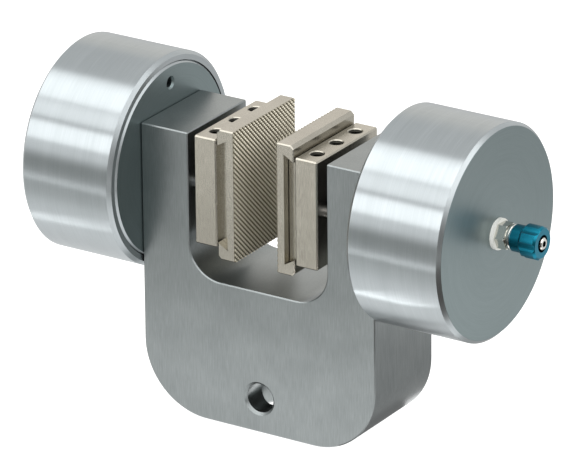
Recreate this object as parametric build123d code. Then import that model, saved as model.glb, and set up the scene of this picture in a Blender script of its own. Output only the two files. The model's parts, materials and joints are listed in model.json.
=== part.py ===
from build123d import *
import math
import os

os.makedirs("parts", exist_ok=True)

# Yoke: the U-shaped frame that carries both cylinders
yoke_width = 123.4
yoke_depth = 49.0
yoke_height = 138.0
foot_radius = 33.0
slot_width = 73.6
slot_depth = 69.2
slot_radius = 16.5
yoke_bevel = 0.5

# Coupling bores in the yoke's foot, for the testing machine's spigot and cross pin
pin_bore_d = 14.0
pin_bore_height = 16.5
pin_bore_bevel = 1.2
spigot_bore_d = 27.0
spigot_bore_depth = 40.0
spigot_bore_bevel = 1.5

# Jaw axis, shared by the cylinders, the piston rods and the jaws, below the top of the arms
axis_drop = 25.7
axis_height = yoke_height - axis_drop

# Air cylinder cup
cup_d = 100.0
cup_length = 48.3
cup_stand_off = 0.5
cup_bevel = 1.7
cup_bore_d = 80.0
cup_end_wall = 9.0
cup_mouth_d = 91.6
cup_mouth_depth = 2.5
air_pocket_d = 30.0
air_pocket_depth = 1.0
port_d = 9.8

# Cover that closes the cup and carries it on the yoke's arm
cover_d = 90.8
cover_thickness = 12.5
cover_bevel = 0.9
cover_boss_d = 34.0
cover_boss_length = 2.0
vent_d = 4.6
vent_bevel = 0.9
vent_radius = 36.9

# Screws that hold the cover to the arm
screw_d = 6.0
screw_core_d = 5.0
screw_head_d = 10.0
screw_head_height = 6.0
screw_key_width = 5.0
screw_key_depth = 3.0
screw_offset = 17.0
screw_reach = 12.0

# Piston, its rod and the parts on them
piston_length = 12.7
piston_end_gap = 0.3
piston_bevel = 0.8
rod_d = 20.0
rod_spigot_d = 12.0
rod_bevel = 0.8
nut_across_flats = 18.0
nut_height = 6.0
nut_recess_d = 23.0
nut_recess_depth = 6.5
seal_section_d = 3.5
seal_station = 3.6
guide_ring_width = 4.0
guide_ring_thickness = 1.5
guide_ring_station = 7.2

# Bush and wiper round the rod
bush_wall = 1.5
bush_length = 13.0
wiper_wall = 2.5
wiper_width = 4.0

# Return spring between the cover and the piston, wound from square wire
spring_wire = 2.2
spring_mean_d = 30.0
spring_turns = 4.0
spring_pocket_depth = 5.0

# Jaw holder, the dovetailed block on the end of the rod, as deep as the jaw face
jaw_depth = 51.2
holder_thickness = 11.6
holder_height = 52.0
holder_bevel = 0.6
jaw_open_gap = 4.3
tongue_length = 43.0
top_hole_core_d = 5.0
top_hole_bevel = 1.1
top_hole_depth = 12.0
top_hole_pitch = 16.0

# Screw from the holder into the rod
clamp_screw_d = 8.0
clamp_screw_head_d = 13.0
clamp_screw_head_height = 8.0
clamp_screw_key_width = 6.0
clamp_screw_key_depth = 4.0
clamp_screw_length = 24.0

# Guide pins beside the rod, which keep the holder from turning
guide_pin_d = 7.0
guide_pin_offset = 16.8
guide_pin_seat = 7.0
guide_pin_reach = 21.5
guide_pin_bevel = 0.6

# Jaw face, the changeable serrated block that slides over the holder's tongue
jaw_thickness = 9.5
jaw_height = 62.6
jaw_bevel = 0.5
jaw_lip_bevel = 1.6
jaw_gap = 0.5
dovetail_mouth = 46.8
dovetail_depth = 5.3
dovetail_angle = 60.0

# Crossed serration on the gripping side: two rows of sharp ridges that leave pyramid teeth
tooth_pitch = 1.7
tooth_depth = 0.8
ridge_angle = 45.0

# Push-on air fitting in the middle of each cylinder
washer_d = 14.5
washer_thickness = 1.6
fitting_hex = 11.0
fitting_hex_length = 4.8
fitting_hex_turn = -2.0
fitting_undercut_d = 9.6
fitting_undercut_length = 0.7
fitting_collar_d = 11.8
fitting_collar_length = 1.5
fitting_collar_bevel = 0.35
fitting_neck_d = 10.0
fitting_neck_length = 6.5
fitting_stud_length = 7.5
nozzle_d = 5.6
nozzle_bore_d = 2.8
nozzle_proud = 0.8
union_gap = 0.25
union_rear_d = 12.4
union_rear_length = 6.4
union_flute_d = 15.4
union_length = 14.0
union_bore_d = 8.0
union_thread_depth = 7.5
union_flutes = 6
union_flute_radius = 3.2
union_flute_cut = 0.9
union_bevel = 1.0

# Clearances, all of them radial or one-sided
seat_clearance = 0.05
running_clearance = 0.05
piston_clearance = 0.25
rod_hole_clearance = 0.5
tongue_side_clearance = 0.08
tongue_end_clearance = 0.3
spring_clearance = 0.6
thread_clearance = 0.05

# Stations along the jaw axis, measured from the middle of the yoke
arm_inner_x = slot_width/2
arm_outer_x = yoke_width/2
cover_outer_x = arm_outer_x + cover_thickness
cup_rim_x = arm_outer_x + cup_stand_off
cup_end_x = cup_rim_x + cup_length
cup_floor_x = cup_end_x - cup_end_wall
piston_outer_x = cup_floor_x - piston_end_gap
piston_inner_x = piston_outer_x - piston_length
holder_back_x = arm_inner_x - jaw_open_gap
holder_front_x = holder_back_x - holder_thickness
jaw_back_x = holder_front_x - jaw_gap
jaw_front_x = jaw_back_x - jaw_thickness
dovetail_floor_x = jaw_back_x - dovetail_depth

jaw_axis = Axis((0, 0, axis_height), (1, 0, 0))


def turned(*outline):
    """Solid turned about the jaw axis from (station, radius) corners."""
    corners = [(x, 0, axis_height + r) for x, r in outline]
    return revolve(make_face(Polyline(*corners, close=True)), jaw_axis, 360)


def ring(start, end, outer_d, inner_d):
    """Plain ring about the jaw axis."""
    return turned((start, inner_d/2), (end, inner_d/2), (end, outer_d/2), (start, outer_d/2))


def drill(diameter, depth, bevel, tip=True):
    """Hole that runs down from its mouth at the origin, with a bevelled mouth and a drilled tip."""
    r = diameter/2
    tip_height = r*math.tan(math.radians(31)) if tip else 0
    over = 1.0
    outline = [(0, over), (r + bevel + over, over), (r, -bevel), (r, -depth), (0, -depth - tip_height)]
    return revolve(Plane.XZ*make_face(Polyline(*outline, close=True)), Axis.Z, 360)


def along_axis(x, y=0.0, z=0.0):
    """Place that points out along the jaw axis, at a station and an offset from the axis."""
    return Plane(origin=(x, y, axis_height + z), x_dir=(0, 1, 0), z_dir=(1, 0, 0))


def cap_screw(diameter, head_d, head_height, key_width, key_depth, reach):
    """Socket screw with its head's underside at the origin, its shank going down."""
    head = Cylinder(head_d/2, head_height, align=(Align.CENTER, Align.CENTER, Align.MIN))
    head = chamfer(head.edges().sort_by(Axis.Z)[-1], 0.6)
    shank = Cylinder(diameter/2, reach, align=(Align.CENTER, Align.CENTER, Align.MAX))
    key = extrude(RegularPolygon(key_width/2, 6, major_radius=False), key_depth)
    return head + shank - Pos(0, 0, head_height - key_depth)*key


def write_pair(name, shape):
    """Writes a piece of the right side and its mirror image on the left."""
    export_step(shape, f"parts/right_{name}.step")
    export_step(mirror(shape, about=Plane.YZ), f"parts/left_{name}.step")


def arm_cuts():
    """Holes in the right arm: for the cover's boss, the rod, its wiper, the guide pins and the screws."""
    boss_r = cover_boss_d/2 + seat_clearance
    boss_x = arm_outer_x - cover_boss_length - seat_clearance
    rod_r = rod_d/2 + rod_hole_clearance
    wiper_r = rod_d/2 + wiper_wall
    wiper_x = arm_inner_x + wiper_width
    over = 1.0
    cuts = turned(
        (arm_inner_x - over, 0),
        (arm_outer_x + over, 0),
        (arm_outer_x + over, boss_r),
        (boss_x, boss_r),
        (boss_x, rod_r),
        (wiper_x, rod_r),
        (wiper_x, wiper_r),
        (arm_inner_x - over, wiper_r),
    )
    arm_length = arm_outer_x - arm_inner_x
    pin_hole = Cylinder(guide_pin_d/2 + running_clearance, arm_length + 2*over)
    for side in (-1, 1):
        cuts += along_axis(arm_inner_x + arm_length/2, side*guide_pin_offset)*pin_hole
    for y in (-screw_offset, screw_offset):
        for z in (-screw_offset, screw_offset):
            cuts += along_axis(arm_outer_x, y, z)*drill(screw_core_d, screw_reach + 2, 0.4)
    return cuts


def make_yoke():
    """U-shaped frame with rounded foot, bored arms and the two coupling bores in its foot."""
    outline = Pos(0, yoke_height/2)*Rectangle(yoke_width, yoke_height)
    outline = fillet(outline.vertices().group_by(Axis.Y)[0], foot_radius)
    slot = Pos(0, yoke_height - slot_depth/2)*Rectangle(slot_width, slot_depth)
    slot = fillet(slot.vertices().group_by(Axis.Y)[0], slot_radius)
    yoke = extrude(Plane.XZ*(outline - slot), yoke_depth/2, both=True)
    faces = yoke.faces().sort_by(Axis.Y)
    tops = yoke.edges().filter_by(Axis.Y).group_by(Axis.Z)[-1]
    yoke = chamfer(faces[0].edges() + faces[-1].edges() + tops, yoke_bevel)
    cuts = arm_cuts()
    yoke = yoke - cuts - mirror(cuts, about=Plane.YZ)
    pin_bore = drill(pin_bore_d, yoke_depth/2 + 1, pin_bore_bevel, tip=False)
    front = Plane(origin=(0, -yoke_depth/2, pin_bore_height), z_dir=(0, -1, 0))
    back = Plane(origin=(0, yoke_depth/2, pin_bore_height), z_dir=(0, 1, 0))
    spigot_bore = drill(spigot_bore_d, spigot_bore_depth, spigot_bore_bevel)
    foot = Plane(origin=(0, 0, 0), z_dir=(0, 0, -1))
    return yoke - front*pin_bore - back*pin_bore - foot*spigot_bore


def make_cup():
    """Cylinder cup, bored from its mouth, with an air port in the middle of its closed end."""
    r = cup_d/2
    return turned(
        (cup_rim_x, cup_mouth_d/2),
        (cup_rim_x, r - cup_bevel),
        (cup_rim_x + cup_bevel, r),
        (cup_end_x - cup_bevel, r),
        (cup_end_x, r - cup_bevel),
        (cup_end_x, port_d/2),
        (cup_floor_x + air_pocket_depth, port_d/2),
        (cup_floor_x + air_pocket_depth, air_pocket_d/2),
        (cup_floor_x, air_pocket_d/2),
        (cup_floor_x, cup_bore_d/2),
        (cover_outer_x, cup_bore_d/2),
        (cover_outer_x, cover_d/2 + thread_clearance),
        (cup_rim_x + cup_mouth_depth, cover_d/2 + thread_clearance),
        (cup_rim_x + cup_mouth_depth, cup_mouth_d/2),
    )


def make_cover():
    """Cover plate with a boss in the arm, a bush bore, a spring pocket, screw holes and a vent."""
    r = cover_d/2
    bush_r = rod_d/2 + bush_wall
    bush_x = cover_outer_x - bush_length
    pocket_x = cover_outer_x - spring_pocket_depth
    pocket_in = spring_mean_d/2 - spring_wire/2 - spring_clearance
    pocket_out = spring_mean_d/2 + spring_wire/2 + spring_clearance
    boss_x = arm_outer_x - cover_boss_length
    cover = turned(
        (boss_x, rod_d/2 + rod_hole_clearance),
        (boss_x, cover_boss_d/2),
        (arm_outer_x, cover_boss_d/2),
        (arm_outer_x, r - cover_bevel),
        (arm_outer_x + cover_bevel, r),
        (cover_outer_x, r),
        (cover_outer_x, pocket_out),
        (pocket_x, pocket_out),
        (pocket_x, pocket_in),
        (cover_outer_x, pocket_in),
        (cover_outer_x, bush_r),
        (bush_x, bush_r),
        (bush_x, rod_d/2 + rod_hole_clearance),
    )
    screw_hole = Cylinder(screw_d/2 + seat_clearance, 3*cover_thickness)
    head_depth = screw_head_height + 1
    head_hole = Cylinder(screw_head_d/2 + 0.3, head_depth, align=(Align.CENTER, Align.CENTER, Align.MAX))
    for y in (-screw_offset, screw_offset):
        for z in (-screw_offset, screw_offset):
            place = along_axis(cover_outer_x, y, z)
            cover -= place*screw_hole + place*head_hole
    vent = Plane(origin=(arm_outer_x, 0, axis_height + vent_radius), z_dir=(-1, 0, 0))
    return cover - vent*drill(vent_d, cover_thickness + 1, vent_bevel, tip=False)


def make_cover_screws():
    """Four socket screws, their heads sunk in the cover and their shanks in the arm."""
    reach = cover_thickness - screw_head_height - 1 + screw_reach
    screw = cap_screw(screw_core_d, screw_head_d, screw_head_height, screw_key_width, screw_key_depth, reach)
    seat_x = cover_outer_x - screw_head_height - 1
    places = [(y, z) for y in (-screw_offset, screw_offset) for z in (-screw_offset, screw_offset)]
    return Compound(children=[along_axis(seat_x, y, z)*screw for y, z in places])


def make_piston():
    """Piston with a seal groove, a guide ring groove, a spring pocket and a recess for the nut."""
    r = cup_bore_d/2 - piston_clearance
    seal_x = piston_outer_x - seal_station
    seal_r = cup_bore_d/2 - seal_section_d
    guide_x = piston_outer_x - guide_ring_station
    guide_r = cup_bore_d/2 - guide_ring_thickness
    pocket_x = piston_inner_x + spring_pocket_depth
    pocket_in = spring_mean_d/2 - spring_wire/2 - spring_clearance
    pocket_out = spring_mean_d/2 + spring_wire/2 + spring_clearance
    recess_x = piston_outer_x - nut_recess_depth
    return turned(
        (piston_inner_x, rod_spigot_d/2),
        (piston_inner_x, pocket_in),
        (pocket_x, pocket_in),
        (pocket_x, pocket_out),
        (piston_inner_x, pocket_out),
        (piston_inner_x, r - piston_bevel),
        (piston_inner_x + piston_bevel, r),
        (guide_x - guide_ring_width, r),
        (guide_x - guide_ring_width, guide_r),
        (guide_x, guide_r),
        (guide_x, r),
        (seal_x - seal_section_d/2, r),
        (seal_x - seal_section_d/2, seal_r),
        (seal_x + seal_section_d/2, seal_r),
        (seal_x + seal_section_d/2, r),
        (piston_outer_x - piston_bevel, r),
        (piston_outer_x, r - piston_bevel),
        (piston_outer_x, nut_recess_d/2),
        (recess_x, nut_recess_d/2),
        (recess_x, rod_spigot_d/2),
    )


def make_piston_seal():
    """Round-section seal ring in the piston's groove."""
    section_r = seal_section_d/2 - running_clearance
    place = Plane(origin=(piston_outer_x - seal_station, 0, axis_height), z_dir=(1, 0, 0))
    return place*Torus(cup_bore_d/2 - seal_section_d/2, section_r)


def make_guide_ring():
    """Flat guide ring in the piston's other groove."""
    start = piston_outer_x - guide_ring_station - guide_ring_width
    outer_d = cup_bore_d - 2*running_clearance
    return ring(start, start + guide_ring_width, outer_d, cup_bore_d - 2*guide_ring_thickness)


def make_rod():
    """Piston rod with a spigot through the piston and a screw hole in its jaw end."""
    end_x = piston_outer_x - nut_recess_depth + nut_height + 0.3
    rod = turned(
        (holder_back_x, 0),
        (holder_back_x, rod_d/2 - rod_bevel),
        (holder_back_x + rod_bevel, rod_d/2),
        (piston_inner_x, rod_d/2),
        (piston_inner_x, rod_spigot_d/2),
        (end_x - rod_bevel, rod_spigot_d/2),
        (end_x, rod_spigot_d/2 - rod_bevel),
        (end_x, 0),
    )
    hole = drill(clamp_screw_d, clamp_screw_length, 0.5)
    return rod - Plane(origin=(holder_back_x, 0, axis_height), z_dir=(-1, 0, 0))*hole


def make_piston_nut():
    """Thin hexagon nut in the piston's recess."""
    hexagon = RegularPolygon(nut_across_flats/2, 6, major_radius=False) - Circle(rod_spigot_d/2)
    return along_axis(piston_outer_x - nut_recess_depth)*extrude(hexagon, nut_height)


def make_spring():
    """Square-wire return spring from the floor of the cover's pocket to that of the piston's."""
    start = cover_outer_x - spring_pocket_depth + spring_wire/2
    end = piston_inner_x + spring_pocket_depth - spring_wire/2
    rise = end - start
    coil = Helix(pitch=rise/spring_turns, height=rise, radius=spring_mean_d/2)
    section = Plane(origin=coil @ 0, z_dir=coil % 0)*Rectangle(spring_wire, spring_wire)
    return along_axis(start)*sweep(section, path=coil, is_frenet=True)


def make_holder():
    """Holder block with a dovetail tongue, three tapped holes on top and seats for the pins."""
    block = Pos((holder_back_x + holder_front_x)/2, 0, axis_height)*Box(holder_thickness, jaw_depth, holder_height)
    block = chamfer(block.edges(), holder_bevel)
    tongue_x = dovetail_floor_x + tongue_end_clearance
    half_root = dovetail_mouth/2 - tongue_side_clearance - jaw_gap/math.tan(math.radians(dovetail_angle))
    spread = (holder_front_x - tongue_x)/math.tan(math.radians(dovetail_angle))
    outline = [
        (holder_front_x, -half_root),
        (holder_front_x, half_root),
        (tongue_x, half_root + spread),
        (tongue_x, -half_root - spread),
    ]
    section = make_face(Polyline(*[(x, axis_height + z) for x, z in outline], close=True))
    holder = block + extrude(Plane.XZ*section, tongue_length/2, both=True)
    middle_x = (holder_back_x + holder_front_x)/2
    for i in (-1, 0, 1):
        place = Pos(middle_x, i*top_hole_pitch, axis_height + holder_height/2)
        holder -= place*drill(top_hole_core_d, top_hole_depth, top_hole_bevel)
    for side in (-1, 1):
        holder -= along_axis(holder_back_x, side*guide_pin_offset)*drill(guide_pin_d, guide_pin_seat, 0, tip=False)
    head_x = tongue_x + clamp_screw_head_height + 0.5
    shank = ring(head_x, holder_back_x + 1, clamp_screw_d + 2*rod_hole_clearance, 0)
    head = ring(tongue_x - 1, head_x, clamp_screw_head_d + 2*rod_hole_clearance, 0)
    return holder - shank - head


def make_clamp_screw():
    """Socket screw that draws the holder onto the end of the rod."""
    head_x = dovetail_floor_x + tongue_end_clearance + clamp_screw_head_height + 0.5
    reach = holder_back_x - head_x + clamp_screw_length - 4
    screw = cap_screw(
        clamp_screw_d,
        clamp_screw_head_d,
        clamp_screw_head_height,
        clamp_screw_key_width,
        clamp_screw_key_depth,
        reach,
    )
    return Plane(origin=(head_x, 0, axis_height), z_dir=(-1, 0, 0))*screw


def make_guide_pins():
    """Two polished pins, pressed into the holder and sliding in the arm."""
    length = guide_pin_seat + jaw_open_gap + guide_pin_reach
    pin = Cylinder(guide_pin_d/2, length, align=(Align.CENTER, Align.CENTER, Align.MIN))
    pin = chamfer(pin.edges().filter_by(GeomType.CIRCLE), guide_pin_bevel)
    start = holder_back_x - guide_pin_seat
    return Compound(children=[along_axis(start, side*guide_pin_offset)*pin for side in (-1, 1)])


def ridges(angle):
    """Prism with sharp ridges on its front, running across the jaw at an angle from upright."""
    reach = math.hypot(jaw_depth, jaw_height)/2 + tooth_pitch
    count = math.ceil(reach/tooth_pitch)
    outline = [(-(count + 0.5)*tooth_pitch, tooth_depth)]
    for i in range(-count, count + 1):
        outline.append((i*tooth_pitch, 0))
        outline.append(((i + 0.5)*tooth_pitch, tooth_depth))
    outline.append(((count + 0.5)*tooth_pitch, 2*jaw_thickness))
    outline.append((-(count + 0.5)*tooth_pitch, 2*jaw_thickness))
    across = (0, math.cos(math.radians(angle)), math.sin(math.radians(angle)))
    along = (0, math.sin(math.radians(angle)), -math.cos(math.radians(angle)))
    place = Plane(origin=(jaw_front_x, 0, axis_height), x_dir=across, z_dir=along)
    return extrude(place*make_face(Polyline(*outline, close=True)), reach, both=True)


def make_jaw_face():
    """Jaw block with a dovetail slot across its back and pyramid teeth on its front."""
    middle_x = (jaw_back_x + jaw_front_x)/2
    block = Pos(middle_x, 0, axis_height)*Box(jaw_thickness, jaw_depth, jaw_height)
    back_edges = block.edges().filter_by(Axis.Y).group_by(Axis.X)[-1]
    block = chamfer(back_edges, jaw_lip_bevel)
    sides = block.faces().sort_by(Axis.Y)
    block = chamfer(sides[0].edges() + sides[-1].edges(), jaw_bevel)
    half_mouth = dovetail_mouth/2
    over = 1.0
    slope = 1/math.tan(math.radians(dovetail_angle))
    outline = [
        (jaw_back_x + over, -half_mouth + over*slope),
        (jaw_back_x + over, half_mouth - over*slope),
        (dovetail_floor_x, half_mouth + dovetail_depth*slope),
        (dovetail_floor_x, -half_mouth - dovetail_depth*slope),
    ]
    section = make_face(Polyline(*[(x, axis_height + z) for x, z in outline], close=True))
    block -= extrude(Plane.XZ*section, jaw_depth, both=True)
    return block & ridges(ridge_angle) & ridges(-ridge_angle)


def make_washer():
    """Sealing washer under the fitting."""
    return ring(cup_end_x, cup_end_x + washer_thickness, washer_d, port_d)


def make_fitting():
    """Fitting body in one piece: stud in the port, hexagon, collar, threaded neck and hose nozzle."""
    hex_x = cup_end_x + washer_thickness
    undercut_x = hex_x + fitting_hex_length
    collar_x = undercut_x + fitting_undercut_length
    neck_x = collar_x + fitting_collar_length
    collar_r = fitting_collar_d/2
    nozzle_x = neck_x + union_gap + union_length + nozzle_proud
    stud_x = cup_end_x - fitting_stud_length
    stud_r = port_d/2 - thread_clearance
    corner_r = fitting_hex/math.sqrt(3)
    round_body = turned(
        (stud_x, nozzle_bore_d/2),
        (stud_x, stud_r - 0.6),
        (stud_x + 0.6, stud_r),
        (hex_x, stud_r),
        (hex_x, fitting_undercut_d/2),
        (collar_x, fitting_undercut_d/2),
        (collar_x, collar_r - fitting_collar_bevel),
        (collar_x + fitting_collar_bevel, collar_r),
        (neck_x - fitting_collar_bevel, collar_r),
        (neck_x, collar_r - fitting_collar_bevel),
        (neck_x, fitting_neck_d/2),
        (neck_x + fitting_neck_length, fitting_neck_d/2),
        (neck_x + fitting_neck_length, nozzle_d/2),
        (nozzle_x - 0.5, nozzle_d/2),
        (nozzle_x, nozzle_d/2 - 0.5),
        (nozzle_x, nozzle_bore_d/2),
    )
    hexagon = Rot(0, 0, fitting_hex_turn)*RegularPolygon(corner_r, 6)
    prism = along_axis(hex_x)*extrude(hexagon, fitting_hex_length)
    crown = corner_r - 0.35
    rounding = turned(
        (hex_x, 0),
        (hex_x, corner_r + 0.1),
        (undercut_x - 0.6, corner_r + 0.1),
        (undercut_x, crown),
        (undercut_x, 0),
    )
    return round_body + ((prism & rounding) - ring(hex_x - 1, undercut_x + 1, nozzle_bore_d, 0))


def make_union_nut():
    """Union nut: a plain rear end on the neck's thread and a fluted grip round the hose."""
    start = (
        cup_end_x
        + washer_thickness
        + fitting_hex_length
        + fitting_undercut_length
        + fitting_collar_length
        + union_gap
    )
    step_x = start + union_rear_length
    end = start + union_length
    slope = 0.5*(union_flute_d - union_rear_d)
    thread_r = fitting_neck_d/2 + running_clearance
    nut = turned(
        (start + union_thread_depth, union_bore_d/2),
        (start + union_thread_depth, thread_r),
        (start, thread_r),
        (start, union_rear_d/2 - 0.4),
        (start + 0.4, union_rear_d/2),
        (step_x - slope, union_rear_d/2),
        (step_x, union_flute_d/2),
        (end - union_bevel, union_flute_d/2),
        (end, union_flute_d/2 - union_bevel),
        (end, union_bore_d/2),
    )
    groove_place = union_flute_d/2 + union_flute_radius - union_flute_cut
    groove = Cylinder(union_flute_radius, 2*union_length)
    for i in range(union_flutes):
        turn = math.radians(360*i/union_flutes)
        y = groove_place*math.cos(turn)
        z = groove_place*math.sin(turn)
        nut -= along_axis(step_x - slope + union_length, y, z)*groove
    return nut


def make_bush():
    """Plain bush for the rod, in the cover's bore."""
    start = cover_outer_x - bush_length
    return ring(start, cover_outer_x, rod_d + 2*bush_wall, rod_d + 2*running_clearance)


def make_wiper():
    """Wiper ring for the rod, in the arm's inner side."""
    outer_d = rod_d + 2*wiper_wall
    return ring(arm_inner_x, arm_inner_x + wiper_width, outer_d, rod_d + 2*running_clearance)


export_step(make_yoke(), "parts/yoke.step")
write_pair("cylinder_cup", make_cup())
write_pair("cylinder_cover", make_cover())
write_pair("cover_screws", make_cover_screws())
write_pair("rod_bush", make_bush())
write_pair("rod_wiper", make_wiper())
write_pair("piston", make_piston())
write_pair("piston_seal", make_piston_seal())
write_pair("piston_guide_ring", make_guide_ring())
write_pair("piston_rod", make_rod())
write_pair("piston_nut", make_piston_nut())
write_pair("return_spring", make_spring())
write_pair("jaw_holder", make_holder())
write_pair("clamp_screw", make_clamp_screw())
write_pair("guide_pins", make_guide_pins())
write_pair("jaw_face", make_jaw_face())
write_pair("port_washer", make_washer())
write_pair("air_fitting", make_fitting())
write_pair("union_nut", make_union_nut())
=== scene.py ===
import json
import math

import bpy
import numpy as np
from mathutils import Matrix, Vector


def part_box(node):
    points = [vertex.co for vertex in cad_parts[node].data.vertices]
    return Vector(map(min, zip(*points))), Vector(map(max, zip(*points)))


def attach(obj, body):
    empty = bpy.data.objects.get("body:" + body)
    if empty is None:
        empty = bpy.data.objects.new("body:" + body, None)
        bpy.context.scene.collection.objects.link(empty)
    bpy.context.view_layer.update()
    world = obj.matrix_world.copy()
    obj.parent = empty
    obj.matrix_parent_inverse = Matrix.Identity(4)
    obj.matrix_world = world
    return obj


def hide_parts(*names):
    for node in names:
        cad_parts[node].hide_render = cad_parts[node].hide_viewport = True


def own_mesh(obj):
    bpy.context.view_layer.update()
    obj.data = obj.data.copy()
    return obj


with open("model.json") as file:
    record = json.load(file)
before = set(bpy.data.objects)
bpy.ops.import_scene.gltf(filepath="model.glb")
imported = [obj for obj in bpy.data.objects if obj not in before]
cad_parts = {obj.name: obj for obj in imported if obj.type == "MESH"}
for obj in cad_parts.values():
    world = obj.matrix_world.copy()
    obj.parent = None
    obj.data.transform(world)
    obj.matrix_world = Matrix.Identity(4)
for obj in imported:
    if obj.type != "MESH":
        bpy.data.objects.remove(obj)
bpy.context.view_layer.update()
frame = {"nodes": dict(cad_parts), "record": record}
nodes = frame["nodes"]

MM = 0.001
JAW_AXIS_HEIGHT = 112.3*MM

# Drums: the radius where the turned outside begins, the radii of the cover and of the end face
# inside their rims, and how far from the middle the covers' side of the drum reaches
OUTSIDE_RADIUS = 49.88*MM
COVER_RADIUS = 44.5*MM
FACE_RADIUS = 48.4*MM
COVER_REACH = 70*MM

# Jaw teeth: how far their tips and the bottoms of their grooves are from the middle, and how much
# further their painted highlight and shade reach
TOOTH_TIP = 10.9*MM
TOOTH_ROOT = 11.7*MM
TOOTH_MARGIN = 0.01*MM

# Tapped holes in the holders' tops: how far their row is from the middle, their spacing, the height
# down to which their thread and its painted shade are drawn, and the thread itself
HOLE_ACROSS = 26.7*MM
HOLE_PITCH = 16*MM
HOLE_FLOOR = 120*MM
THREAD_MAJOR_RADIUS = 3.2*MM
THREAD_PITCH = 1.0*MM

# Return springs: radius to the wire's middle, the wire's width, its turns and the steps along them
SPRING_RADIUS = 15*MM
SPRING_WIRE = 2.2*MM
SPRING_TURNS = 4
SPRING_STEPS = 192

# Turned finish: how far its pattern runs in one radian, how many fine rings a broad one is wide and
# the broad ones' share of the tone, the fine ones' depth, and the turn that spreads light across them
RING_RUN = 1.2*MM
BROAD_RINGS = 8
BROAD_SHARE = 0.4
RING_DEPTH = 0.04*MM
QUARTER_TURN = 0.25

# Other finishes: the size of the slow clouds and their share of the tone, the grain's depth, the
# roughness of what is cut and not ground, and the two kinds of material
CLOUD = 20*MM
CLOUD_SHARE = 0.35
GRAIN_DEPTH = 0.03*MM
CUT_ROUGHNESS = 0.5
METAL = 1.0
PLASTIC = 0.0

# A Mix node's sockets by their order: it has some for numbers and some for colours
SHARE, NUMBER_A, NUMBER_B, COLOUR_A, COLOUR_B = 0, 2, 3, 6, 7
MIXED_NUMBER, MIXED_COLOUR = 0, 2


# Colour and node helpers

def linear(code):
    """Linear colour of an sRGB hex value: each channel by the standard sRGB curve."""
    channels = [int(code[i:i + 2], 16)/255 for i in (1, 3, 5)]
    return tuple(c/12.92 if c <= 0.04045 else ((c + 0.055)/1.055)**2.4 for c in channels) + (1.0,)


def add(tree, kind, inputs=None, stops=(), **settings):
    """Adds a node with its settings, and with its inputs, named or numbered, set or linked.

    The stops of a colour ramp are (position, hex) pairs in order.
    """
    made = tree.nodes.new("ShaderNode" + kind)
    for name, value in settings.items():
        setattr(made, name, value)
    for socket, value in (inputs or {}).items():
        if isinstance(value, bpy.types.NodeSocket):
            tree.links.new(value, made.inputs[socket])
        else:
            made.inputs[socket].default_value = value
    if stops:
        elements = made.color_ramp.elements
        elements[0].position = stops[0][0]
        elements[-1].position = stops[-1][0]
        for position, _ in stops[1:-1]:
            elements.new(position)
        for element, (_, code) in zip(elements, stops):
            element.color = linear(code)
    return made


def new_material(name):
    """Empty node material with its output node."""
    made = bpy.data.materials.new(name)
    made.use_nodes = True
    made.node_tree.nodes.clear()
    return made, made.node_tree, add(made.node_tree, "OutputMaterial")


def tone_stops(tones, spread):
    """Ramp stops for a grain of dark, base and light: the smaller the spread, the stronger it shows."""
    dark, base, light = tones
    return [(0.5 - spread, dark), (0.5, base), (0.5 + spread, light)]


# Finishes

def lathe_coordinates(tree):
    """Places unrolled round the jaw axis: (station, distance from it, a small turn), and the first two."""
    place = add(tree, "TexCoord").outputs["Object"]
    axis = add(tree, "Mapping", {"Vector": place, "Location": (0, 0, -JAW_AXIS_HEIGHT)}).outputs["Vector"]
    station, y, z = add(tree, "SeparateXYZ", {0: axis}).outputs
    flat = add(tree, "CombineXYZ", {1: y, 2: z}).outputs[0]
    radius = add(tree, "VectorMath", {0: flat}, operation="LENGTH").outputs["Value"]
    turn = add(tree, "Math", {0: z, 1: y}, operation="ARCTAN2").outputs[0]
    small_turn = add(tree, "Math", {0: turn, 1: RING_RUN}, operation="MULTIPLY").outputs[0]
    unrolled = add(tree, "CombineXYZ", {0: station, 1: radius, 2: small_turn}).outputs[0]
    return unrolled, station, radius


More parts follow.
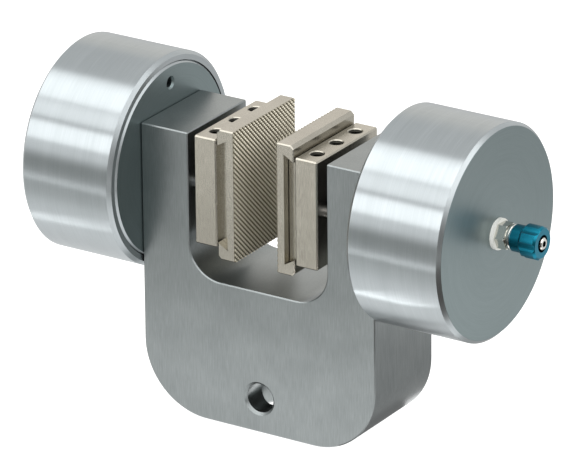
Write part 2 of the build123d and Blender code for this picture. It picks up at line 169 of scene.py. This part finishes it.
def turned_metal(name, outside_tones, shaded_face_tones, roughness, face_roughness, ring_mm, strength, spread):
    """Lathe-turned metal: fine rings round the jaw axis among broader ones. Tones are (dark, base, light).

    The outside's rings spread each reflection along the axis. The rims and the end faces spread it
    evenly, and the end faces spread it more. Inside their rims the end faces and covers take darker
    tones of the same metal: painted shade.
    """
    made, tree, output = new_material(name)
    where, station, radius = lathe_coordinates(tree)
    outside = add(tree, "Math", {0: radius, 1: OUTSIDE_RADIUS}, operation="GREATER_THAN").outputs[0]
    from_middle = add(tree, "Math", {0: station}, operation="ABSOLUTE").outputs[0]
    outer_end = add(tree, "Math", {0: from_middle, 1: COVER_REACH}, operation="GREATER_THAN").outputs[0]
    face = add(tree, "Mix", {SHARE: outer_end, NUMBER_A: COVER_RADIUS, NUMBER_B: FACE_RADIUS})
    face_radius = face.outputs[MIXED_NUMBER]
    rim = add(tree, "Math", {0: radius, 1: face_radius}, operation="GREATER_THAN").outputs[0]
    finish = add(tree, "Mix", {SHARE: rim, NUMBER_A: face_roughness, NUMBER_B: roughness})
    fine = {"Vector": where, "Scale": 1/(ring_mm*MM), "Detail": 2.0, "Roughness": 0.6}
    broad = {"Vector": where, "Scale": 1/(BROAD_RINGS*ring_mm*MM), "Detail": 2.0}
    rings = add(tree, "TexNoise", fine).outputs["Fac"]
    bands = add(tree, "TexNoise", broad).outputs["Fac"]
    both = add(tree, "Mix", {SHARE: BROAD_SHARE, NUMBER_A: rings, NUMBER_B: bands}).outputs[MIXED_NUMBER]
    # Faces inside the rims: a darker copy of the same metal, painted shade
    shaded_face_tone, outside_tone = (
        add(tree, "ValToRGB", {"Fac": both}, tone_stops(tones, spread)).outputs["Color"]
        for tones in (shaded_face_tones, outside_tones)
    )
    tone = add(tree, "Mix", {SHARE: rim, COLOUR_A: shaded_face_tone, COLOUR_B: outside_tone}, data_type="RGBA")
    bump = add(tree, "Bump", {"Height": rings, "Strength": strength, "Distance": RING_DEPTH})
    around = add(tree, "Tangent", direction_type="RADIAL", axis="X")
    shader = add(tree, "BsdfPrincipled", {
        "Base Color": tone.outputs[MIXED_COLOUR],
        "Metallic": METAL,
        "Roughness": finish.outputs[MIXED_NUMBER],
        "Anisotropic": outside,
        "Anisotropic Rotation": QUARTER_TURN,
        "Tangent": around.outputs["Tangent"],
        "Normal": bump.outputs["Normal"],
    })
    tree.links.new(shader.outputs[0], output.inputs["Surface"])
    return made


def tooth_painted_light_and_shade(tree, place):
    """The jaw teeth: where they are, and a painted highlight on the tips that darkens to painted shade in the
    grooves.
    """
    x = add(tree, "SeparateXYZ", {0: place}).outputs[0]
    across = add(tree, "Math", {0: x}, operation="ABSOLUTE").outputs[0]
    depth = add(tree, "MapRange", {"Value": across, "From Min": TOOTH_TIP, "From Max": TOOTH_ROOT}).outputs[0]
    cut = add(tree, "Math", {0: across, 1: TOOTH_ROOT + TOOTH_MARGIN}, operation="LESS_THAN").outputs[0]
    # Painted highlight at the tips, painted shade at the bottoms of the grooves
    stops = [(0.0, "#F6F1E2"), (0.4, "#D8D2C1"), (0.75, "#827C6B"), (1.0, "#453F31")]
    return cut, add(tree, "ValToRGB", {"Fac": depth}, stops).outputs["Color"]


def thread_painted_shade(tree, place):
    """The holder's three tapped holes: where they are, and painted shade in them, drawn as the dark turns of
    the thread.

    Distance from the nearest hole's line, then rings along it, one for each turn of the thread.
    """
    x, y, z = add(tree, "SeparateXYZ", {0: place}).outputs
    from_middle = add(tree, "Math", {0: x}, operation="ABSOLUTE").outputs[0]
    across = add(tree, "Math", {0: from_middle, 1: HOLE_ACROSS}, operation="SUBTRACT").outputs[0]
    along = add(tree, "Math", {0: y, 1: -HOLE_PITCH/2, 2: HOLE_PITCH/2}, operation="WRAP").outputs[0]
    flat = add(tree, "CombineXYZ", {0: across, 1: along}).outputs[0]
    radius = add(tree, "VectorMath", {0: flat}, operation="LENGTH").outputs["Value"]
    inside = add(tree, "Math", {0: radius, 1: THREAD_MAJOR_RADIUS}, operation="LESS_THAN").outputs[0]
    above_floor = add(tree, "Math", {0: z, 1: HOLE_FLOOR}, operation="GREATER_THAN").outputs[0]
    hole = add(tree, "Math", {0: inside, 1: above_floor}, operation="MULTIPLY").outputs[0]
    turns = add(tree, "Math", {0: z, 1: THREAD_PITCH/2}, operation="PINGPONG").outputs[0]
    groove = add(tree, "MapRange", {"Value": turns, "From Min": 0.0, "From Max": THREAD_PITCH/2}).outputs[0]
    # Painted shade: dark at the thread's crests, near black at its roots
    stops = [(0.0, "#57554E"), (1.0, "#141412")]
    return hole, add(tree, "ValToRGB", {"Fac": groove}, stops).outputs["Color"]


def grained_metal(name, tones, roughness, grain_mm, stretch, strength, spread, shade=None):
    """Milled or ground metal: short scratches stretched along one direction, with a slow change of tone.

    Tones are (dark, base, light). A shade, a function of the place, gives a mask and the colour under it:
    painted light and shade where the form is too fine to show them. The form under the mask is as cut,
    without the grinding, and spreads the light more.
    """
    made, tree, output = new_material(name)
    place = add(tree, "TexCoord").outputs["Object"]
    stretched = add(tree, "Mapping", {"Vector": place, "Scale": stretch}).outputs["Vector"]
    scratches = {"Vector": stretched, "Scale": 1/(grain_mm*MM), "Detail": 3.0, "Roughness": 0.65}
    grain = add(tree, "TexNoise", scratches).outputs["Fac"]
    cloud = add(tree, "TexNoise", {"Vector": place, "Scale": 1/CLOUD, "Detail": 3.0}).outputs["Fac"]
    both = add(tree, "Mix", {SHARE: CLOUD_SHARE, NUMBER_A: grain, NUMBER_B: cloud}).outputs[MIXED_NUMBER]
    tone = add(tree, "ValToRGB", {"Fac": both}, tone_stops(tones, spread)).outputs["Color"]
    if shade:
        # Painted light and shade: the mask, and the colour painted under it
        mask, shaded = shade(tree, place)
        shown = add(tree, "Mix", {SHARE: mask, COLOUR_A: tone, COLOUR_B: shaded}, data_type="RGBA")
        finish = add(tree, "Mix", {SHARE: mask, NUMBER_A: roughness, NUMBER_B: CUT_ROUGHNESS})
        tone = shown.outputs[MIXED_COLOUR]
        roughness = finish.outputs[MIXED_NUMBER]
    bump = add(tree, "Bump", {"Height": grain, "Strength": strength, "Distance": GRAIN_DEPTH})
    shader = add(tree, "BsdfPrincipled", {
        "Base Color": tone, "Metallic": METAL, "Roughness": roughness, "Normal": bump.outputs["Normal"],
    })
    tree.links.new(shader.outputs[0], output.inputs["Surface"])
    return made


def plain_finish(name, dark, base, metallic, roughness, grain_mm, strength):
    """Small part: one colour, clouded a little, with a fine bump."""
    made, tree, output = new_material(name)
    place = add(tree, "TexCoord").outputs["Object"]
    grain = add(tree, "TexNoise", {"Vector": place, "Scale": 1/(grain_mm*MM), "Detail": 3.0}).outputs["Fac"]
    tone = add(tree, "ValToRGB", {"Fac": grain}, [(0.3, dark), (0.7, base)]).outputs["Color"]
    bump = add(tree, "Bump", {"Height": grain, "Strength": strength, "Distance": GRAIN_DEPTH})
    shader = add(tree, "BsdfPrincipled", {
        "Base Color": tone, "Metallic": metallic, "Roughness": roughness, "Normal": bump.outputs["Normal"],
    })
    tree.links.new(shader.outputs[0], output.inputs["Surface"])
    return made


# The real marks of the tools are finer than the render can show. All these patterns, with grains and
# rings of 0.4 to 0.6 mm, are drawn as coarse as they need to show.

NICKEL = {
    "tones": ("#9B978D", "#A8A499", "#B5B1A6"),
    "roughness": 0.27,
    "grain_mm": 0.4,
    "stretch": (1.0, 1.0, 0.08),
    "strength": 0.3,
    "spread": 0.2,
}

finishes = {
    # Milled flat, then hard anodised: a dull blue grey, with a soft wide sheen and faint upright strokes
    "anodised_grey": grained_metal(
        "hard_anodised_aluminium", ("#7A7F7F", "#858A8A", "#909595"), roughness=0.34, grain_mm=0.5,
        stretch=(1.0, 1.0, 0.06), strength=0.35, spread=0.2),
    # Bare from the lathe: fine rings draw the lights into bright bands along the drum, with even end faces
    # whose darker tones are painted shade on the same metal
    "turned_aluminium": turned_metal(
        "turned_aluminium", ("#9CA2A4", "#A5ABAD", "#AFB5B7"), ("#758182", "#7B8788", "#818D8E"),
        roughness=0.30, face_roughness=0.38, ring_mm=0.5, strength=0.06, spread=0.3),
    # Ground, then nickel plated: a warm, slightly yellow grey with a satin gloss, a painted highlight on the
    # tooth tips and painted shade in their grooves
    "nickel_plated_steel": grained_metal("ground_nickel_plated_steel", **NICKEL, shade=tooth_painted_light_and_shade),
    # Ground, oiled rods, pins and springs: a steel darkened as painted shade, for pins that sit in shade in
    # the gaps, with narrow, fairly sharp reflections
    "polished_steel": plain_finish(
        "ground_oiled_steel_painted_shade", "#848486", "#8E8E90", METAL, roughness=0.18, grain_mm=0.5, strength=0.05),
    # Blackened screws: near black, with a faint oily sheen
    "black_oxide_steel": plain_finish(
        "black_oxide_steel", "#232324", "#2B2B2C", METAL, roughness=0.4, grain_mm=0.4, strength=0.2),
    # Machined bushes: a brown gold, dull where they are cut
    "bronze": plain_finish(
        "bearing_bronze", "#8F6A48", "#A9805A", METAL, roughness=0.35, grain_mm=0.4, strength=0.2),
    # Plated brass fittings: a mirror-like silver, a little warm
    "nickel_plated_brass": plain_finish(
        "bright_nickel_plate", "#C4C4BE", "#D2D2CC", METAL, roughness=0.16, grain_mm=0.6, strength=0.08),
    # Dyed anodised nuts: a deep petrol blue that keeps the metal's gloss
    "anodised_blue": plain_finish(
        "blue_anodised_aluminium", "#176C82", "#1E778D", METAL, roughness=0.3, grain_mm=0.5, strength=0.1),
    # Moulded washers: a matt, slightly warm white
    "white_nylon": plain_finish(
        "moulded_white_nylon", "#F2F2EC", "#FAFAF4", PLASTIC, roughness=0.45, grain_mm=0.6, strength=0.1),
    # Moulded seals: a dull black
    "black_rubber": plain_finish(
        "moulded_black_rubber", "#161616", "#1C1C1C", PLASTIC, roughness=0.6, grain_mm=0.5, strength=0.2),
}
# The holders' own nickel: the same satin grey, with painted shade down each tapped hole, drawn as the dark
# turns of the thread
nickel_with_painted_hole_shade = grained_metal("ground_nickel_with_painted_hole_shade", **NICKEL, shade=thread_painted_shade)

# Every CAD node wears the finish of its slot
for entry in frame["record"]["subparts"]:
    mesh = nodes[entry["node"]].data
    finish = nickel_with_painted_hole_shade if "holder" in entry["node"] else finishes[entry["material_slot"]]
    for i in range(len(mesh.materials)):
        mesh.materials[i] = finish


# Return springs, which on the grip shorten as the jaws close: drawn here as coils of fixed length in place of
# the CAD's rigid ones

def coil_spring(side):
    """Spring of square wire with its square ends: the sides that a square's four corners trace along a helix.

    With t from 0 at the cover to 1 at the piston and n turns, the wire's middle is at
    (start + t*rise, R*cos(2*pi*n*t), R*sin(2*pi*n*t)) from the jaw axis, and each corner stands half the
    wire's width from it along the axis and half outward or inward. The left spring is the mirror image
    of the right one, so its faces wind the other way.
    """
    node = side + "_return_spring"
    low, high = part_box(node)
    sign = 1 if side == "right" else -1
    fixed_end, free_end = sorted((low[0], high[0]), key=abs)
    half = SPRING_WIRE/2
    first, last = fixed_end + sign*half, free_end - sign*half
    along = half*np.array([-1, -1, 1, 1])
    radius = SPRING_RADIUS + half*np.array([-1, 1, 1, -1])
    share = np.linspace(0, 1, SPRING_STEPS + 1)[:, None]
    turn = 2*math.pi*SPRING_TURNS*share
    points = np.stack([
        first + (last - first)*share + sign*along,
        radius*np.cos(turn),
        JAW_AXIS_HEIGHT + radius*np.sin(turn),
    ], axis=-1)
    count = len(along)
    corner = np.arange(count)
    following = (corner + 1) % count
    ring = count*np.arange(SPRING_STEPS)[:, None]
    beyond = ring + count
    sides = np.stack([ring + corner, ring + following, beyond + following, beyond + corner], axis=-1)
    ends = [corner[::-1], count*SPRING_STEPS + corner]
    faces = np.concatenate([sides.reshape(-1, count), ends])
    if side == "right":
        faces = faces[:, ::-1]
    mesh = bpy.data.meshes.new(node + "_coil")
    mesh.from_pydata(points.reshape(-1, 3).tolist(), [], faces.tolist())
    mesh.materials.append(finishes["polished_steel"])
    made = bpy.data.objects.new(node + "_coil", mesh)
    bpy.context.scene.collection.objects.link(made)
    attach(made, "grip_body")
    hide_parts(node)
    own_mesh(made)


coil_spring("left")
coil_spring("right")


# Camera, at the photograph's place: turned and raised from the front, with a slight roll

CAMERA_AZIMUTH = math.radians(32.72)
CAMERA_ELEVATION = math.radians(22.29)
CAMERA_ROLL = math.radians(-0.53)
CAMERA_ACROSS = 1.36*MM
CAMERA_RISE = 83.2*MM
CAMERA_DISTANCE = 2848*MM
FOCAL_PIXELS = 6247.51
PHOTO_WIDTH = 583
SENSOR_WIDTH = 36
NEAREST = 0.1
FARTHEST = 50


def standing(across, rise, out, spot):
    """Matrix of an object at a spot, with its X, Y and Z along the three directions given first."""
    made = Matrix((across, rise, out)).transposed().to_4x4()
    made.translation = spot
    return made


def make_camera():
    """Camera on the line back from the object, shifted across and up to the photograph's framing."""
    back = Vector((
        math.sin(CAMERA_AZIMUTH)*math.cos(CAMERA_ELEVATION),
        -math.cos(CAMERA_AZIMUTH)*math.cos(CAMERA_ELEVATION),
        math.sin(CAMERA_ELEVATION),
    ))
    level = Vector((math.cos(CAMERA_AZIMUTH), math.sin(CAMERA_AZIMUTH), 0))
    upright = back.cross(level)
    right = level*math.cos(CAMERA_ROLL) + upright*math.sin(CAMERA_ROLL)
    up = upright*math.cos(CAMERA_ROLL) - level*math.sin(CAMERA_ROLL)
    data = bpy.data.cameras.new("camera")
    data.sensor_fit = "HORIZONTAL"
    data.sensor_width = SENSOR_WIDTH
    data.lens = FOCAL_PIXELS/PHOTO_WIDTH*SENSOR_WIDTH
    data.clip_start = NEAREST
    data.clip_end = FARTHEST
    camera = bpy.data.objects.new("camera", data)
    bpy.context.scene.collection.objects.link(camera)
    spot = right*CAMERA_ACROSS + up*CAMERA_RISE + back*CAMERA_DISTANCE
    camera.matrix_world = standing(right, up, back, spot)
    bpy.context.scene.camera = camera


make_camera()


# Studio: white surroundings, a pale floor and long soft boxes parallel to the jaw axis

WHITE = (1, 1, 1, 1)
FILL_STRENGTH = 0.65
FLOOR_FRONT = -0.28
FLOOR_FAR = 3.0
FLOOR_TONES_END = 0.42
LEFT_TONES_END = -0.14
RIGHT_TONES_START = 0.02
PAINTED_REFLECTION_STRENGTH = 1.85
BOX_DISTANCE = 1.5
STRIP_HEIGHT = 0.002


def background_ray(tree):
    """1 for a ray that shows the background: from the camera, or by reflection or through glass."""
    path = add(tree, "LightPath").outputs
    seen = add(tree, "Math", {0: path["Is Camera Ray"], 1: path["Is Glossy Ray"]}, operation="MAXIMUM")
    shown = {0: seen.outputs[0], 1: path["Is Transmission Ray"]}
    return add(tree, "Math", shown, operation="MAXIMUM").outputs[0]


def make_world():
    """White where the surroundings are seen, and a soft fill where they only light the object."""
    world = bpy.data.worlds.new("surroundings")
    world.use_nodes = True
    tree = world.node_tree
    tree.nodes.clear()
    seen = add(tree, "Background", {"Color": WHITE, "Strength": 1.0}).outputs[0]
    fill = add(tree, "Background", {"Color": WHITE, "Strength": FILL_STRENGTH}).outputs[0]
    mix = add(tree, "MixShader", {0: background_ray(tree), 1: fill, 2: seen}).outputs[0]
    add(tree, "OutputWorld", {"Surface": mix})
    bpy.context.scene.world = world


def sheet(name, corners, material):
    """Flat sheet through four corners in order."""
    mesh = bpy.data.meshes.new(name)
    mesh.from_pydata(corners, [], [(0, 1, 2, 3)])
    mesh.materials.append(material)
    made = bpy.data.objects.new(name, mesh)
    bpy.context.scene.collection.objects.link(made)
    return made


def rectangle(x, y, z):
    """Corners in order of a level or upright rectangle, where two of x, y and z are (low, high)."""
    orders = iter([(0, 1, 1, 0), (0, 0, 1, 1)])
    columns = []
    for side in (x, y, z):
        columns.append([side[i] for i in next(orders)] if isinstance(side, tuple) else [side]*4)
    return list(zip(*columns))


def make_floor():
    """Pale glossy table, white where it is seen. What it throws back on the object keeps the object's shadow.

    In the metal it shows a painted reflection that no lamp lights: brightest close to the object, less to the
    left, and darker to the front and back.
    """
    made, tree, output = new_material("pale_table")
    x, y, _ = add(tree, "SeparateXYZ", {0: add(tree, "TexCoord").outputs["Object"]}).outputs
    gloss = add(tree, "BsdfPrincipled", {"Base Color": linear("#808080"), "Roughness": 0.12, "IOR": 2.0})
    glow = add(tree, "Emission", {"Color": WHITE, "Strength": 1.0})
    seen = add(tree, "AddShader", {0: gloss.outputs[0], 1: glow.outputs[0]}).outputs[0]
    front_to_back = {"Value": y, "From Min": FLOOR_FRONT, "From Max": FLOOR_TONES_END}
    back = add(tree, "MapRange", front_to_back).outputs[0]
    # Painted reflection: tones set by place, not by the light that falls on the table
    left = add(tree, "ValToRGB", {"Fac": back}, [
        (0.0, "#A6A7A6"), (0.10, "#B1B2B1"), (0.161, "#B0B1B0"), (0.207, "#CECFCE"), (0.273, "#E0E0E0"),
        (0.32, "#E4E4E4"), (0.36, "#D9D9D9"), (0.40, "#D0D0D0"), (0.57, "#BCBCBC"), (1.0, "#A0A0A0"),
    ]).outputs["Color"]
    right = add(tree, "ValToRGB", {"Fac": back}, [
        (0.0, "#9E9F9E"), (0.10, "#C5C6C5"), (0.161, "#CACBCA"), (0.207, "#D9D9D9"), (0.273, "#EEEEEE"),
        (0.32, "#E9E9E9"), (0.36, "#E6E6E6"), (0.39, "#FFFFFF"), (0.44, "#FFFFFF"), (0.57, "#D4D4D4"),
        (1.0, "#A8A8A8"),
    ]).outputs["Color"]
    left_to_right = {"Value": x, "From Min": LEFT_TONES_END, "From Max": RIGHT_TONES_START}
    sideways = add(tree, "MapRange", left_to_right).outputs[0]
    tone = add(tree, "Mix", {SHARE: sideways, COLOUR_A: left, COLOUR_B: right}, data_type="RGBA")
    painted_reflection = add(tree, "Emission", {"Color": tone.outputs[MIXED_COLOUR], "Strength": PAINTED_REFLECTION_STRENGTH})
    lit = add(tree, "BsdfPrincipled", {"Base Color": linear("#E6E6E6"), "Roughness": 0.5})
    glossy_ray = add(tree, "LightPath").outputs["Is Glossy Ray"]
    shown = add(tree, "MixShader", {0: glossy_ray, 1: seen, 2: painted_reflection.outputs[0]})
    mix = add(tree, "MixShader", {0: background_ray(tree), 1: lit.outputs[0], 2: shown.outputs[0]})
    tree.links.new(mix.outputs[0], output.inputs["Surface"])
    sheet("floor", rectangle(x=(-FLOOR_FAR, FLOOR_FAR), y=(FLOOR_FRONT, FLOOR_FAR), z=0), made)


def soft_box(name, angle, across, length, width, radiance):
    """Area lamp along the jaw axis, at an angle up from the front, that shows with the given radiance."""
    lamp = bpy.data.lights.new(name, "AREA")
    lamp.shape = "RECTANGLE"
    lamp.size = length
    lamp.size_y = width
    lamp.energy = radiance*math.pi*length*width
    made = bpy.data.objects.new(name, lamp)
    bpy.context.scene.collection.objects.link(made)
    out = Vector((0, -math.cos(math.radians(angle)), math.sin(math.radians(angle))))
    along = Vector((1, 0, 0))
    spot = Vector((across, 0, JAW_AXIS_HEIGHT)) + out*BOX_DISTANCE
    made.matrix_world = standing(along, out.cross(along), out, spot)
    made.visible_camera = False


def make_card(name, code, radiance, corners):
    """Studio card or strip that is seen only in the metal's reflections."""
    made, tree, output = new_material(name)
    shader = add(tree, "Emission", {"Color": linear(code), "Strength": radiance})
    tree.links.new(shader.outputs[0], output.inputs["Surface"])
    card = sheet(name, corners, made)
    card.visible_camera = False
    card.visible_diffuse = False
    card.visible_shadow = False


make_world()
make_floor()

# Grey between the table's front edge and the soft boxes, for the dark band above the drums' mid height
make_card("front_card", "#BFC1BF", 1.0, rectangle(x=(-2.4, 1.2), y=-1.3, z=(-0.36, 0.09)))

# Grey on the table at the right, a painted shadow of the right drum seen only in reflections: the yoke's
# right side and the right drum's lower bands mirror it
DRUM_SHADOW_CARD = [(0.054, -0.014, 0.002), (0.17, 0.0, 0.002), (0.17, 0.13, 0.002), (0.054, 0.13, 0.002)]
make_card("drum_shadow_card", "#CCCCCC", 1.0, DRUM_SHADOW_CARD)

# Bright strips along the table's front edge, for the light line at the drums' mid height
EDGE = -0.300, -0.272
make_card("left_edge", "#FFFFFF", 2.9, rectangle(x=(-2.4, -0.185), y=EDGE, z=STRIP_HEIGHT))
make_card("middle_edge", "#FFFFFF", 2.2, rectangle(x=(-0.185, -0.095), y=EDGE, z=STRIP_HEIGHT))
make_card("right_edge", "#FFFFFF", 2.9, rectangle(x=(-0.095, 1.2), y=EDGE, z=STRIP_HEIGHT))

# Bright strips in front of the drums and below them, for the light line in each drum's lower half
make_card("right_line", "#FFFFFF", 6.3, rectangle(x=(0.049, 0.085), y=(-0.0562, -0.0536), z=0.060))
make_card("left_line", "#FFFFFF", 4.4, rectangle(x=(-0.17, -0.115), y=(-0.0785, -0.0695), z=STRIP_HEIGHT))

# Grey under the foot's right corner, a painted contact shadow, so that the corner doesn't mirror the bright
# table
make_card("foot_shadow_card", "#9A9A9A", 1.0, rectangle(x=(0.042, 0.062), y=(-0.025, 0.026), z=0.0025))

# Bright slanting card, high at the right, for edges and slopes that face right and up
RIGHT_CARD = [(1.83, -0.46, 0.60), (1.49, -0.72, 1.02), (0.97, 0.73, 1.53), (1.31, 0.99, 1.11)]
make_card("right_card", "#FFFFFF", 2.6, RIGHT_CARD)

# Dark wall and dark ground at the right, for the slopes that face right and front, such as the teeth's
make_card("dark_wall", "#5F5B57", 1.0, rectangle(x=1.15, y=(-0.9, -0.25), z=(-0.5, 0.42)))
make_card("dark_floor", "#6A6662", 1.0, rectangle(x=(0.14, 0.8), y=(-0.27, -0.04), z=STRIP_HEIGHT))

# Pale wall behind, for the flat tops
make_card("back_card", "#FFFBF6", 1.2, rectangle(x=(-1.9, 0.3), y=1.9, z=(0.45, 1.9)))

soft_box("low_box", angle=8.5, across=-0.35, length=3.1, width=0.26, radiance=0.5)
soft_box("front_box", angle=24.5, across=-0.35, length=3.1, width=0.50, radiance=1.9)
soft_box("middle_box", angle=47.3, across=-0.45, length=2.9, width=0.43, radiance=1.3)
soft_box("top_box", angle=73.2, across=-0.45, length=2.9, width=0.81, radiance=1.9)

bpy.context.scene.view_settings.view_transform = "Standard"
